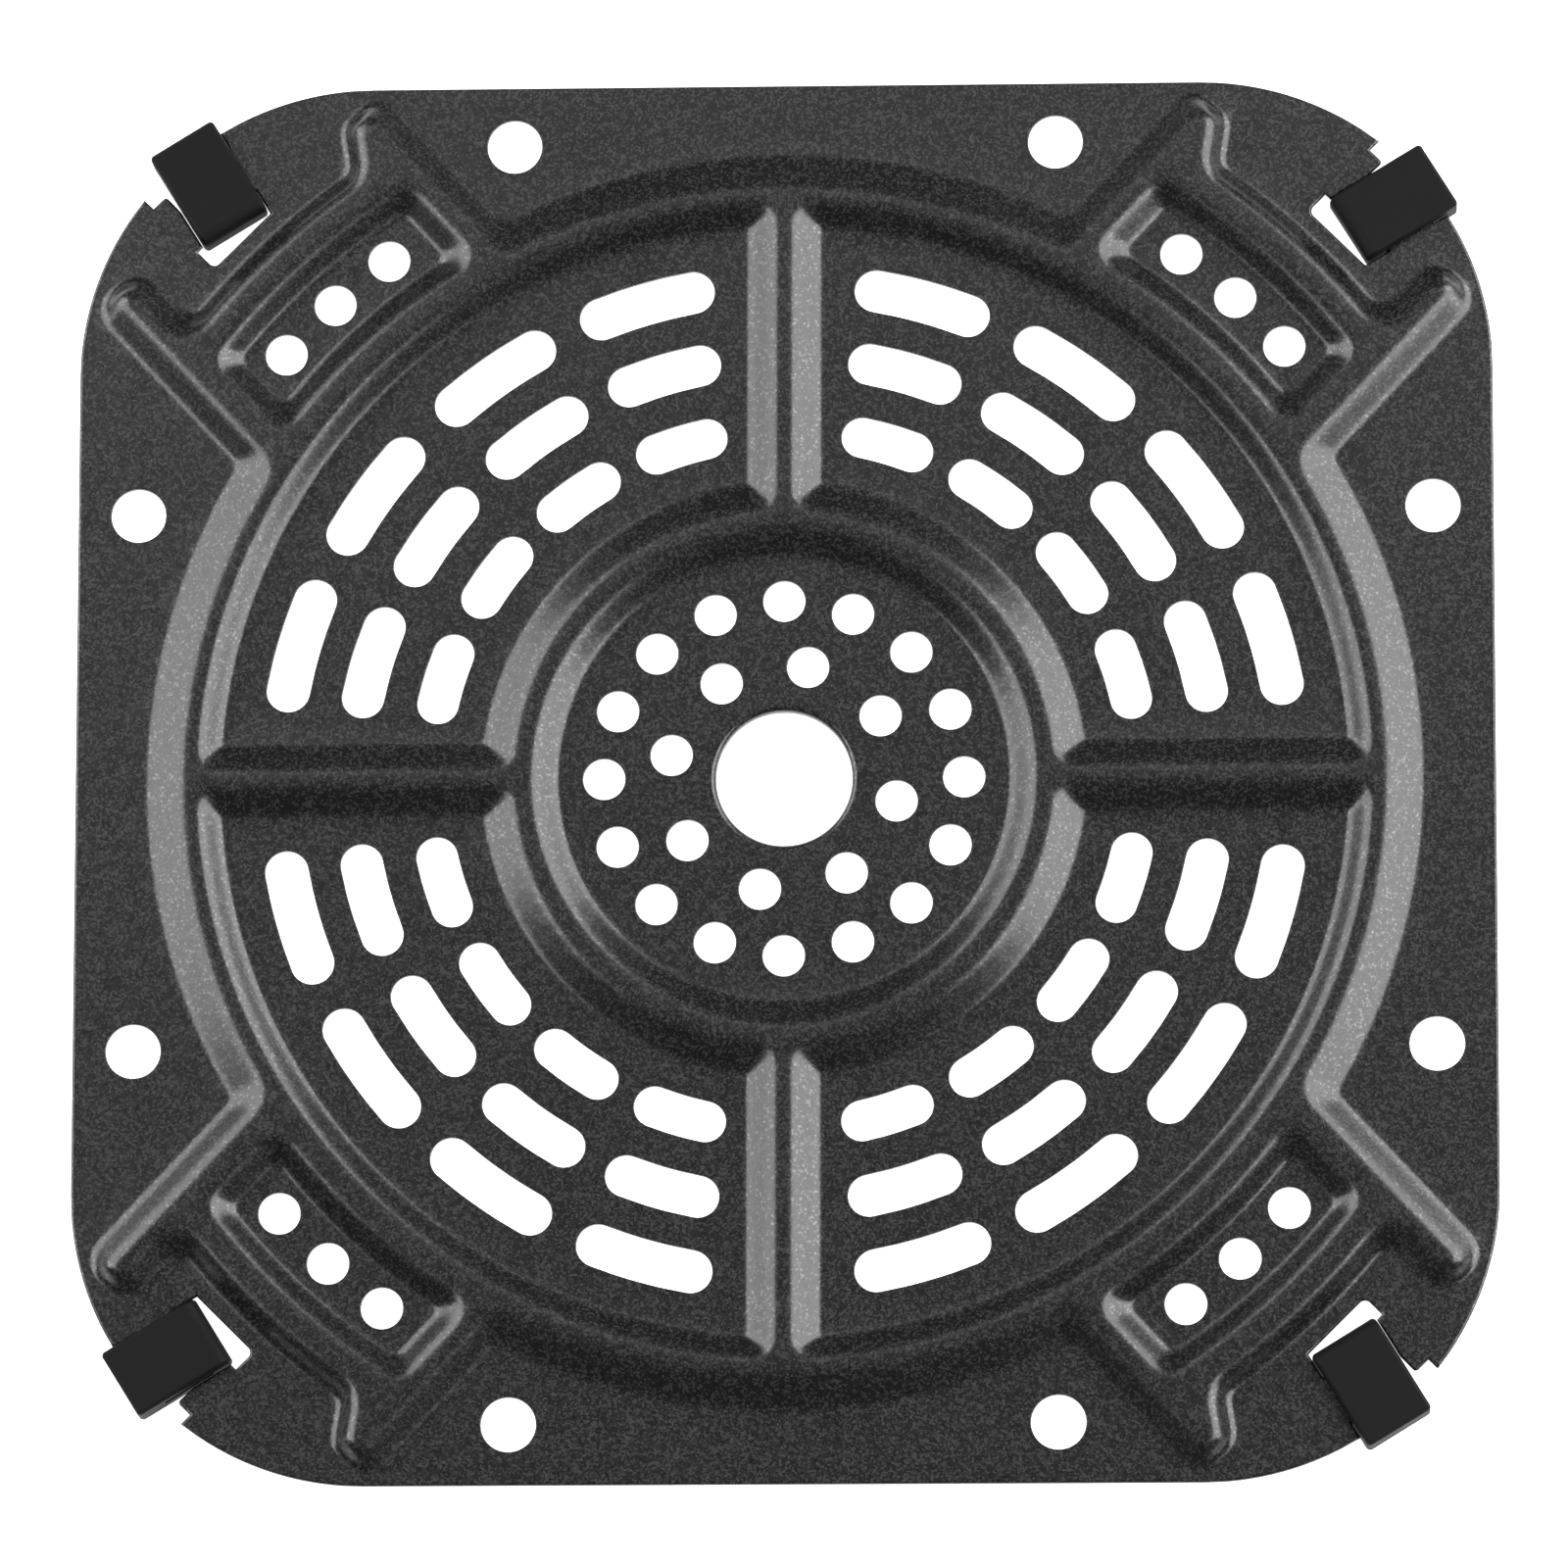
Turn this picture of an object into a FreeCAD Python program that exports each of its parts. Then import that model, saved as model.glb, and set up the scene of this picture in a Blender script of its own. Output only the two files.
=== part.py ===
import FreeCAD, Part
import math
import os

# Air fryer tray: a square steel sheet, pressed into rings, spokes and corner pads, punched for air
# and coated nonstick. It lies in the bottom of a basket on four silicone corner bumpers.
# Millimetres. The origin is the middle of the footprint, on the surface that the bumpers stand on.
# +Z points up through the food side, +Y to the rear edge and +X to the right edge.

# Sheet blank
PLATE_SIDE = 210.0
PLATE_CORNER_RADIUS = 43.5
SHEET_THICKNESS = 1.0
RIM_CHAMFER = 0.3

# Heights
SHEET_UNDERSIDE = 3.0
RIB_HEIGHT = 2.5

# Leaning walls of the pressing: how far each reaches in plan between its foot and its crest
OUTER_RING_OUTER_WALL = 4.8
OUTER_RING_INNER_WALL = 2.9
INNER_RING_OUTER_WALL = 4.3
INNER_RING_INNER_WALL = 3.4
SPOKE_WALL = 3.75
PAD_SIDE_WALL = 3.6
PAD_NOTCH_WALL = 2.3
PAD_TIP_WALL = 1.8
POCKET_ARC_WALL = 2.7
POCKET_SIDE_WALL = 3.2

# Outer ring, inside the flange, and inner ring, round the hub
FLANGE_WIDTH = 11.0
OUTER_RING_CREST_WIDTH = 2.7
HUB_FLOOR_RADIUS = 33.6
INNER_RING_CREST_WIDTH = 3.2

# Spokes, and the corners of the low sectors between them, at foot and crest
SPOKE_CREST_WIDTH = 2.9
SECTOR_CORNER = (0.8, 2.4)

# Corner pads. Depths run inwards along the corner's diagonal from the blank's rim, and widths from the pad's axis
PAD_AXIS_DEG = 42.9
PAD_NEAR_SIDE = 26.4
PAD_FAR_SIDE = 26.8
PAD_NOTCH_DEPTH = 18.0
PAD_NEAR_TIP_DEPTH = 13.0
PAD_FAR_TIP_DEPTH = 7.9
PAD_NEAR_TIP_CREST = 2.2
PAD_FAR_TIP_CREST = 2.0
PAD_NEAR_SLANT_DEG = 33.7
PAD_ROOT_CORNER = (1.4, 4.6)
PAD_NOTCH_CORNER = (2.6, 4.8)
PAD_NEAR_TIP_CORNER = (3.0, 0.9)
TIP_ROUND_SHARE = (0.85, 0.95)

# Sunken pocket in each pad, and the lands that are left round it
POCKET_ARC_LAND = 4.2
POCKET_NEAR_LAND = 2.6
POCKET_FAR_LAND = 4.0
POCKET_CORNER = (1.4, 3.0)

# Centre hole, with its rim drawn down into a short collar
HUB_HOLE_RADIUS = 10.05
HUB_COLLAR_WALL = 0.8
HUB_COLLAR_DROP = 1.0
HUB_RIM_CHAMFER = 0.6

# Round holes: two circles of small ones round the hub, three in each pad, eight in the flange
DRAIN_HOLE_RADIUS = 3.1
INNER_CIRCLE_RADIUS = 17.0
INNER_CIRCLE_COUNT = 8
INNER_CIRCLE_START_DEG = 12.0
OUTER_CIRCLE_RADIUS = 26.6
OUTER_CIRCLE_COUNT = 16
PAD_HOLE_SPACING = 10.4
FLANGE_HOLE_RADIUS = 4.05
FLANGE_HOLE_INSET = 9.0
FLANGE_HOLE_OFFSET = 40.3

# Rows of arc slots in each low sector, counted outwards from the inner ring
SLOTS_PER_ROW = 4
SLOT_ROW_PITCH = 11.1
SLOT_ROW_MARGIN = 8.05
SLOT_WIDTH = 6.1
SLOT_WIDTH_STEP = 0.15
SLOT_GAP_DEG = 3.6
SLOT_SPOKE_GAP = 8.6
SLOT_SPOKE_GAP_STEP = 0.96

# Silicone bumpers, each in its own frame: "along" runs outwards, "across" runs clockwise
BUMPER_LENGTH = 16.0
BUMPER_WIDTH = 10.9
BUMPER_HEIGHT = 6.0
BUMPER_CENTRE_DEPTH = 5.7
BUMPER_CENTRE_ACROSS = 3.2
BUMPER_TURN_DEG = 13.3
BUMPER_EDGE_CHAMFER = 0.4
BUMPER_NOSE_ROUND = 2.0
BUMPER_CLEARANCE = 0.1

# Tab of the sheet that each bumper is pushed on, reached from the clockwise side
TAB_WIDTH = 8.0
TAB_OFFSET = -0.5
TAB_TIP_COVER = 1.2
TAB_TIP_ROUND = 1.0

# Opening round each tab, along the corner's diagonal, open to the rim. Depths run inwards from the rim
OPENING_DEPTH = 15.2
OPENING_SIDE = 5.1
OPENING_CORNER = 1.0
TOOTH_START_DEPTH = 11.7
TOOTH_BEND_DEPTH = 5.5
TOOTH_END_DEPTH = 2.2
TOOTH_REACH = 2.5
TOOTH_ROUND = 0.6
TOOTH_CLEARANCE = 0.2

SHEET_TOP = SHEET_UNDERSIDE + SHEET_THICKNESS
CORNER_REACH = math.sqrt(2) * (PLATE_SIDE / 2 - PLATE_CORNER_RADIUS) + PLATE_CORNER_RADIUS
WALL_SHIFT = 0.32 * SHEET_THICKNESS
OVERRUN = 1.3
TOOL_MARGIN = 1.0
BLANK_BOTTOM = -TOOL_MARGIN
PUNCH_HEIGHT = 2 * (SHEET_TOP + RIB_HEIGHT)
BUMPER_NAMES = ("bumper_rear_right", "bumper_front_right", "bumper_front_left", "bumper_rear_left")
QUARTERS = ((1, 1), (1, -1), (-1, -1), (-1, 1))

# Radii of the walls, each at its foot and at its crest
OUTER_RING_FOOT = PLATE_SIDE / 2 - FLANGE_WIDTH
OUTER_RING_CREST = OUTER_RING_FOOT - OUTER_RING_OUTER_WALL - OUTER_RING_CREST_WIDTH
OUTER_RING_OUTSIDE = (OUTER_RING_FOOT, OUTER_RING_FOOT - OUTER_RING_OUTER_WALL)
OUTER_RING_INSIDE = (OUTER_RING_CREST - OUTER_RING_INNER_WALL, OUTER_RING_CREST)
INNER_RING_CREST = HUB_FLOOR_RADIUS + INNER_RING_INNER_WALL + INNER_RING_CREST_WIDTH
INNER_RING_OUTSIDE = (INNER_RING_CREST + INNER_RING_OUTER_WALL, INNER_RING_CREST)
INNER_RING_INSIDE = (HUB_FLOOR_RADIUS, HUB_FLOOR_RADIUS + INNER_RING_INNER_WALL)
PAD_NOTCH = (CORNER_REACH - PAD_NOTCH_DEPTH, CORNER_REACH - PAD_NOTCH_DEPTH - PAD_NOTCH_WALL)
POCKET_OUTSIDE = (PAD_NOTCH[1] - POCKET_ARC_LAND - POCKET_ARC_WALL, PAD_NOTCH[1] - POCKET_ARC_LAND)
POCKET_INSIDE = (OUTER_RING_CREST + POCKET_ARC_LAND + POCKET_ARC_WALL, OUTER_RING_CREST + POCKET_ARC_LAND)
BUMPER_CENTRE_OUT = CORNER_REACH - BUMPER_CENTRE_DEPTH
OPENING_INNER_EDGE = CORNER_REACH - OPENING_DEPTH
TOOTH_START = CORNER_REACH - TOOTH_START_DEPTH
TOOTH_BEND = CORNER_REACH - TOOTH_BEND_DEPTH
TOOTH_END = CORNER_REACH - TOOTH_END_DEPTH


def polar(radius, clockwise_deg, height=0.0):
    """Point at a radius and a clockwise angle from +Y."""
    angle = math.radians(clockwise_deg)
    return FreeCAD.Vector(radius * math.sin(angle), radius * math.cos(angle), height)


class Wall:
    """A leaning wall in plan: a straight line, or a circle about the tray's middle.

    The outlined region lies where the wall's measure is below its distance. A straight wall measures
    along its direction, a circle outwards (side 1) or inwards (side -1) from the middle.
    """

    def __init__(self, foot_and_crest, direction=None, side=1):
        self.foot, self.crest = foot_and_crest
        self.direction = direction
        self.side = side

    def distance(self, level, grow):
        """Signed distance at a level from 0, the foot, to 1, the crest."""
        return self.side * (self.foot + (self.crest - self.foot) * level) + grow

    def touch(self, centre, distance):
        """Point of the wall that is nearest to a centre."""
        if self.direction is None:
            return centre * (abs(distance) / centre.Length)
        return centre + self.direction * (distance - self.direction.dot(centre))

    def edge(self, start, end):
        """The wall's own edge between two of its points."""
        if self.direction is not None:
            return Part.makeLine(start, end)
        flat = FreeCAD.Vector(start.x + end.x, start.y + end.y, 0)
        middle = flat * (math.hypot(start.x, start.y) / flat.Length)
        middle.z = start.z
        return Part.Arc(start, middle, end).toShape()


def meeting_point(first, second, first_distance, second_distance, near):
    """Point with the given measures from two walls, the one nearest to a hint."""
    if first.direction is None:
        return meeting_point(second, first, second_distance, first_distance, near)
    normal = first.direction
    along = FreeCAD.Vector(-normal.y, normal.x, 0)
    if second.direction is None:
        reach = math.sqrt(second_distance ** 2 - first_distance ** 2)
        points = [normal * first_distance + along * reach, normal * first_distance - along * reach]
        return min(points, key=lambda point: (point - near).Length)
    step = (second_distance - first_distance * normal.dot(second.direction)) / along.dot(second.direction)
    return normal * first_distance + along * step


def corner(first, second, level, grow, radii, convex, near):
    """Rounding between two walls: where it starts, its middle and where it ends."""
    radius = radii[0] + (radii[1] - radii[0]) * level + (grow if convex else -grow)
    inwards = -radius if convex else radius
    distances = [wall.distance(level, grow) for wall in (first, second)]
    centre = meeting_point(first, second, distances[0] + inwards, distances[1] + inwards, near)
    start = first.touch(centre, distances[0])
    end = second.touch(centre, distances[1])
    middle = centre + ((start + end) * 0.5 - centre).normalize() * radius
    return start, middle, end


def outline(sides, level, grow, height):
    """Closed wire of walls with rounded corners.

    Each side is a wall with the rounding that follows it: radii at foot and crest, whether the corner
    is convex, and a point near it.
    """
    corners = []
    for index, (wall, radii, convex, near) in enumerate(sides):
        following = sides[(index + 1) % len(sides)][0]
        corners.append(corner(wall, following, level, grow, radii, convex, near))
    lift = FreeCAD.Vector(0, 0, height)
    edges = []
    for index, (wall, radii, convex, near) in enumerate(sides):
        before = corners[index - 1]
        after = corners[index]
        edges.append(wall.edge(before[2] + lift, after[0] + lift))
        edges.append(Part.Arc(after[0] + lift, after[1] + lift, after[2] + lift).toShape())
    return Part.Wire(edges)


def leaning_solid(sides, grow, foot_height, top_level):
    """Solid between an outline at its foot and the same outline at a higher level."""
    top_height = foot_height + RIB_HEIGHT * top_level
    wires = [outline(sides, 0.0, grow, foot_height), outline(sides, top_level, grow, top_height)]
    return Part.makeLoft(wires, True, True)


def edges_at(shape, height):
    """Edges that lie flat at a height."""
    found = []
    for edge in shape.Edges:
        box = edge.BoundBox
        if abs(box.ZMin - height) < 1e-4 and abs(box.ZMax - height) < 1e-4:
            found.append(edge)
    return found


def quarter_direction(quarter, x, y):
    """Direction in a quarter of the tray, mirrored from the rear right one."""
    return FreeCAD.Vector(quarter[0] * x, quarter[1] * y, 0)


def pad_vector(quarter, out, across):
    """Vector of a pad's own frame, mirrored into its quarter."""
    angle = math.radians(PAD_AXIS_DEG)
    x = out * math.sin(angle) + across * math.cos(angle)
    y = out * math.cos(angle) - across * math.sin(angle)
    return quarter_direction(quarter, x, y)


def leaning(foot, reach):
    """Measure of a wall at its foot, and at its crest, which stands back by the wall's reach."""
    return foot, foot - reach


def pad_sides(quarter):
    """Walls round one corner pad, from the side near the Y axis to the far side."""
    slant = math.radians(PAD_NEAR_SLANT_DEG)
    near_tip_foot = CORNER_REACH - PAD_NEAR_TIP_DEPTH
    slant_across = PAD_NEAR_SIDE - PAD_SIDE_WALL - PAD_NEAR_TIP_CREST
    slant_crest = (near_tip_foot - PAD_TIP_WALL) * math.sin(slant) - slant_across * math.cos(slant)
    far_inner_crest = PAD_FAR_SIDE - PAD_SIDE_WALL - PAD_FAR_TIP_CREST
    near = pad_vector(quarter, PAD_NOTCH[0], 0)
    ring = Wall(OUTER_RING_OUTSIDE)
    near_side = Wall(leaning(PAD_NEAR_SIDE, PAD_SIDE_WALL), pad_vector(quarter, 0, -1))
    near_tip = Wall(leaning(near_tip_foot, PAD_TIP_WALL), pad_vector(quarter, 1, 0))
    near_slant = Wall(
        (slant_crest + PAD_NOTCH_WALL, slant_crest), pad_vector(quarter, math.sin(slant), math.cos(slant)))
    notch = Wall(PAD_NOTCH)
    far_inner = Wall((PAD_SIDE_WALL - far_inner_crest, -far_inner_crest), pad_vector(quarter, 0, -1))
    far_tip = Wall(leaning(CORNER_REACH - PAD_FAR_TIP_DEPTH, PAD_TIP_WALL), pad_vector(quarter, 1, 0))
    far_side = Wall(leaning(PAD_FAR_SIDE, PAD_SIDE_WALL), pad_vector(quarter, 0, 1))
    far_tip_foot_width = PAD_FAR_TIP_CREST + 2 * PAD_SIDE_WALL
    far_tip_corner = (TIP_ROUND_SHARE[0] * far_tip_foot_width / 2, TIP_ROUND_SHARE[1] * PAD_FAR_TIP_CREST / 2)
    walls = [ring, near_side, near_tip, near_slant, notch, far_inner, far_tip, far_side]
    roundings = [
        (PAD_ROOT_CORNER, False),
        (PAD_NEAR_TIP_CORNER, True),
        (PAD_NEAR_TIP_CORNER, True),
        (PAD_NOTCH_CORNER, False),
        (PAD_NOTCH_CORNER, False),
        (far_tip_corner, True),
        (far_tip_corner, True),
        (PAD_ROOT_CORNER, False),
    ]
    return walls, roundings, near


def raised_sides():
    """Walls round the whole raised part: the outer ring with its four pads, clockwise from +Y."""
    sides = []
    for quarter in QUARTERS:
        walls, roundings, near = pad_sides(quarter)
        if quarter[0] != quarter[1]:
            walls = [walls[0]] + walls[:0:-1]
            roundings = roundings[::-1]
        for wall, (radii, convex) in zip(walls, roundings):
            sides.append((wall, radii, convex, near))
    return sides


def sector_sides(quarter):
    """Walls round one low sector between two spokes and the two rings."""
    near = quarter_direction(quarter, OUTER_RING_INSIDE[0], OUTER_RING_INSIDE[0])
    crest = SPOKE_CREST_WIDTH / 2
    spoke = (-crest - SPOKE_WALL, -crest)
    walls = [
        Wall(OUTER_RING_INSIDE),
        Wall(spoke, quarter_direction(quarter, 0, -1)),
        Wall(INNER_RING_OUTSIDE, side=-1),
        Wall(spoke, quarter_direction(quarter, -1, 0)),
    ]
    return [(wall, SECTOR_CORNER, True, near) for wall in walls]


def pocket_sides(quarter):
    """Walls round the sunken pocket of one pad."""
    near = pad_vector(quarter, POCKET_OUTSIDE[0], 0)
    near_crest = PAD_NEAR_SIDE - PAD_SIDE_WALL - POCKET_NEAR_LAND
    far_crest = PAD_FAR_SIDE - PAD_SIDE_WALL - POCKET_FAR_LAND
    walls = [
        Wall(POCKET_OUTSIDE),
        Wall((far_crest - POCKET_SIDE_WALL, far_crest), pad_vector(quarter, 0, 1)),
        Wall(POCKET_INSIDE, side=-1),
        Wall((near_crest - POCKET_SIDE_WALL, near_crest), pad_vector(quarter, 0, -1)),
    ]
    return [(wall, POCKET_CORNER, True, near) for wall in walls]


def plate_prism(grow, low, high):
    """Square blank with round corners, as an upright prism."""
    half = PLATE_SIDE / 2 + grow
    radius = PLATE_CORNER_RADIUS + grow
    block = Part.makeBox(2 * half, 2 * half, high - low, FreeCAD.Vector(-half, -half, low))
    upright = [edge for edge in block.Edges if edge.BoundBox.ZLength > 0.5 * (high - low)]
    return block.makeFillet(radius, upright)


def hub_cutter(grow, foot_height):
    """Low disc inside the inner ring, widening upwards."""
    foot, crest = INNER_RING_INSIDE
    top = foot + (crest - foot) * OVERRUN
    cone = Part.makeCone(foot + grow, top + grow, RIB_HEIGHT * OVERRUN)
    cone.translate(FreeCAD.Vector(0, 0, foot_height))
    return cone


def pressed_body(foot_height, low, shift, plate_grow):
    """Everything below one face of the pressed sheet."""
    blank = plate_prism(plate_grow, low, foot_height)
    if plate_grow == 0:
        blank = blank.makeChamfer(RIM_CHAMFER, edges_at(blank, foot_height))
    raised = leaning_solid(raised_sides(), -shift, foot_height, 1.0)
    cutters = [hub_cutter(shift, foot_height)]
    for quarter in QUARTERS:
        cutters.append(leaning_solid(sector_sides(quarter), shift, foot_height, OVERRUN))
        cutters.append(leaning_solid(pocket_sides(quarter), shift, foot_height, OVERRUN))
    return blank.fuse(raised).cut(cutters)


def pressed_sheet():
    """The pressed sheet before it is punched: its food side less everything below its underside."""
    above = pressed_body(SHEET_TOP, BLANK_BOTTOM, 0.0, 0.0)
    below = pressed_body(SHEET_UNDERSIDE, BLANK_BOTTOM - TOOL_MARGIN, WALL_SHIFT, TOOL_MARGIN)
    return above.cut(below)


def punch(radius, place):
    """Upright round punch at a place in plan."""
    return Part.makeCylinder(radius, PUNCH_HEIGHT, FreeCAD.Vector(place.x, place.y, 0))


def slot_punch(radius, width, start_deg, end_deg):
    """Punch for one slot that follows a circle about the tray's middle, with round ends."""
    half = width / 2
    end_turn = math.degrees(half / radius)
    first = start_deg + end_turn
    last = end_deg - end_turn
    middle = (first + last) / 2
    outer = [polar(radius + half, angle) for angle in (first, middle, last)]
    inner = [polar(radius - half, angle) for angle in (last, middle, first)]
    edges = [
        Part.Arc(*outer).toShape(),
        Part.Arc(outer[2], polar(radius, end_deg), inner[0]).toShape(),
        Part.Arc(*inner).toShape(),
        Part.Arc(inner[2], polar(radius, start_deg), outer[0]).toShape(),
    ]
    return Part.Face(Part.Wire(edges)).extrude(FreeCAD.Vector(0, 0, PUNCH_HEIGHT))


def slot_punches():
    """Punches for the rows of slots in each low sector, as many rows as have room."""
    punches = []
    first = INNER_RING_OUTSIDE[0] + SLOT_ROW_MARGIN
    rows = 1 + int((OUTER_RING_INSIDE[0] - SLOT_ROW_MARGIN - first) / SLOT_ROW_PITCH + 0.5)
    for row in range(rows):
        radius = first + row * SLOT_ROW_PITCH
        width = SLOT_WIDTH + row * SLOT_WIDTH_STEP
        margin = math.degrees((SLOT_SPOKE_GAP + row * SLOT_SPOKE_GAP_STEP) / radius)
        sweep = (90 - 2 * margin + SLOT_GAP_DEG) / SLOTS_PER_ROW - SLOT_GAP_DEG
        for turn in range(0, 360, 90):
            for index in range(SLOTS_PER_ROW):
                start = turn + margin + index * (sweep + SLOT_GAP_DEG)
                punches.append(slot_punch(radius, width, start, start + sweep))
    return punches


def drain_punches():
    """Punches for the small holes round the hub and in the pads."""
    places = []
    for index in range(INNER_CIRCLE_COUNT):
        turn = INNER_CIRCLE_START_DEG + 360.0 * index / INNER_CIRCLE_COUNT
        places.append(polar(INNER_CIRCLE_RADIUS, turn))
    for index in range(OUTER_CIRCLE_COUNT):
        places.append(polar(OUTER_CIRCLE_RADIUS, 360.0 * index / OUTER_CIRCLE_COUNT))
    radius = (POCKET_OUTSIDE[0] + POCKET_INSIDE[0]) / 2
    for quarter in QUARTERS:
        for step in (-1, 0, 1):
            place = polar(radius, PAD_AXIS_DEG + math.degrees(step * PAD_HOLE_SPACING / radius))
            places.append(quarter_direction(quarter, place.x, place.y))
    return [punch(DRAIN_HOLE_RADIUS, place) for place in places]


def flange_punches():
    """Punches for the two holes along each edge of the flange."""
    reach = PLATE_SIDE / 2 - FLANGE_HOLE_INSET
    places = []
    for quarter in QUARTERS:
        places.append(quarter_direction(quarter, FLANGE_HOLE_OFFSET, reach))
        places.append(quarter_direction(quarter, reach, FLANGE_HOLE_OFFSET))
    return [punch(FLANGE_HOLE_RADIUS, place) for place in places]


def add_hub_collar(sheet):
    """Punch the centre hole and draw its rim down into a short collar."""
    low = SHEET_UNDERSIDE - HUB_COLLAR_DROP
    collar = Part.makeCylinder(HUB_HOLE_RADIUS + HUB_COLLAR_WALL, SHEET_TOP - low, FreeCAD.Vector(0, 0, low))
    sheet = sheet.fuse(collar).cut(punch(HUB_HOLE_RADIUS, FreeCAD.Vector())).removeSplitter()
    mouth = [edge for edge in edges_at(sheet, SHEET_TOP) if abs(edge.BoundBox.XMax - HUB_HOLE_RADIUS) < 1e-3]
    return sheet.makeChamfer(HUB_RIM_CHAMFER, mouth)


def corner_vector(out, across, height=0.0):
    """Point by its distance out along the rear right diagonal and clockwise across it."""
    half = math.sqrt(0.5)
    return FreeCAD.Vector(half * (out + across), half * (out - across), height)


def bumper_point(along, across, height=0.0):
    """Point in the frame of the rear right bumper, whose middle is its origin."""
    turn = math.radians(BUMPER_TURN_DEG)
    out = BUMPER_CENTRE_OUT + along * math.cos(turn) - across * math.sin(turn)
    side = BUMPER_CENTRE_ACROSS + along * math.sin(turn) + across * math.cos(turn)
    return corner_vector(out, side, height)


def along_for_out(out, across):
    """Distance along the bumper of the point that lies this far out on its given side."""
    turn = math.radians(BUMPER_TURN_DEG)
    return (out - BUMPER_CENTRE_OUT + across * math.sin(turn)) / math.cos(turn)


def prism(points, low, high):
    """Upright prism over a closed polygon."""
    wire = Part.makePolygon([FreeCAD.Vector(point.x, point.y, low) for point in points + points[:1]])
    return Part.Face(wire).extrude(FreeCAD.Vector(0, 0, high - low))


def round_upright(solid, radius, points):
    """Round the upright edges of a prism that stand at some of its corners."""
    chosen = []
    for edge in solid.Edges:
        box = edge.BoundBox
        for point in points:
            if box.XLength + box.YLength < 1e-6 and math.hypot(box.XMin - point.x, box.YMin - point.y) < 1e-4:
                chosen.append(edge)
    return solid.makeFillet(radius, chosen)


def tab_prism():
    """The tab that carries the rear right bumper, with its root past the opening's edge."""
    low = TAB_OFFSET - TAB_WIDTH / 2
    high = TAB_OFFSET + TAB_WIDTH / 2
    tip = TAB_TIP_COVER - BUMPER_WIDTH / 2
    root = BUMPER_WIDTH / 2 + BUMPER_CLEARANCE + TOOL_MARGIN
    tips = [bumper_point(low, tip), bumper_point(high, tip)]
    points = tips + [bumper_point(high, root), bumper_point(low, root)]
    return round_upright(prism(points, 0.0, PUNCH_HEIGHT), TAB_TIP_ROUND, tips)


def opening_punch():
    """Punch for the rear right opening, which leaves the bumper's tab and a tooth beside it."""
    face = BUMPER_WIDTH / 2 + BUMPER_CLEARANCE
    beyond = math.hypot(PLATE_SIDE, PLATE_SIDE) / 2
    inner = bumper_point(along_for_out(OPENING_INNER_EDGE, face), face)
    outer = bumper_point(along_for_out(beyond, face), face)
    side = -BUMPER_WIDTH / 2 - TOOTH_CLEARANCE
    tooth_foot = bumper_point(along_for_out(TOOTH_START, side), side)
    tooth_bend = bumper_point(along_for_out(TOOTH_BEND, side), side)
    tooth_tip = corner_vector(TOOTH_END, -TOOTH_REACH)
    near = corner_vector(OPENING_INNER_EDGE, -OPENING_SIDE)
    shoulder = corner_vector(TOOTH_START, -OPENING_SIDE)
    points = [
        near,
        inner,
        outer,
        corner_vector(beyond, -OPENING_SIDE),
        corner_vector(TOOTH_END, -OPENING_SIDE),
        tooth_tip,
        tooth_bend,
        tooth_foot,
        shoulder,
    ]
    solid = prism(points, 0.0, PUNCH_HEIGHT)
    solid = round_upright(solid, OPENING_CORNER, [near])
    solid = round_upright(solid, TOOTH_ROUND, [tooth_tip])
    return solid.cut(tab_prism())


def turned(shape, quarter_turns):
    """Copy of a shape turned clockwise about the tray's middle."""
    copy = shape.copy()
    copy.rotate(FreeCAD.Vector(), FreeCAD.Vector(0, 0, 1), -90.0 * quarter_turns)
    return copy


def crisper_plate():
    """The pressed and punched sheet."""
    sheet = add_hub_collar(pressed_sheet())
    punches = slot_punches() + drain_punches() + flange_punches()
    opening = opening_punch()
    punches += [turned(opening, quarter_turns) for quarter_turns in range(4)]
    return sheet.cut(punches)


def bumper():
    """Silicone sleeve in the rear right corner: a block with a round nose and a slit for the tab."""
    half_length = BUMPER_LENGTH / 2
    half_width = BUMPER_WIDTH / 2
    block = Part.makeBox(
        BUMPER_LENGTH, BUMPER_WIDTH, BUMPER_HEIGHT, FreeCAD.Vector(-half_length, -half_width, 0))
    nose = [edge for edge in block.Edges if crosses_at(edge, -half_length)]
    block = block.makeFillet(BUMPER_NOSE_ROUND, nose)
    tail = [edge for edge in block.Edges if crosses_at(edge, half_length)]
    block = block.makeChamfer(BUMPER_EDGE_CHAMFER, tail)
    sides = [edge for edge in block.Edges if edge.BoundBox.YLength < 1e-6]
    block = block.makeChamfer(BUMPER_EDGE_CHAMFER, sides)
    gap = BUMPER_CLEARANCE
    slit = Part.makeBox(
        TAB_WIDTH + 2 * gap,
        2 * BUMPER_WIDTH,
        SHEET_THICKNESS + 2 * gap,
        FreeCAD.Vector(TAB_OFFSET - TAB_WIDTH / 2 - gap, -BUMPER_WIDTH, SHEET_UNDERSIDE - gap),
    )
    block = block.cut(slit)
    block.rotate(FreeCAD.Vector(), FreeCAD.Vector(0, 0, 1), 45.0 - BUMPER_TURN_DEG)
    block.translate(bumper_point(0, 0))
    return block


def crosses_at(edge, along):
    """Whether an edge of the bumper's block runs across it at a distance along it."""
    box = edge.BoundBox
    return box.YLength > 0.5 * BUMPER_WIDTH and abs(box.XMin - along) < 1e-6 and abs(box.XMax - along) < 1e-6


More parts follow.
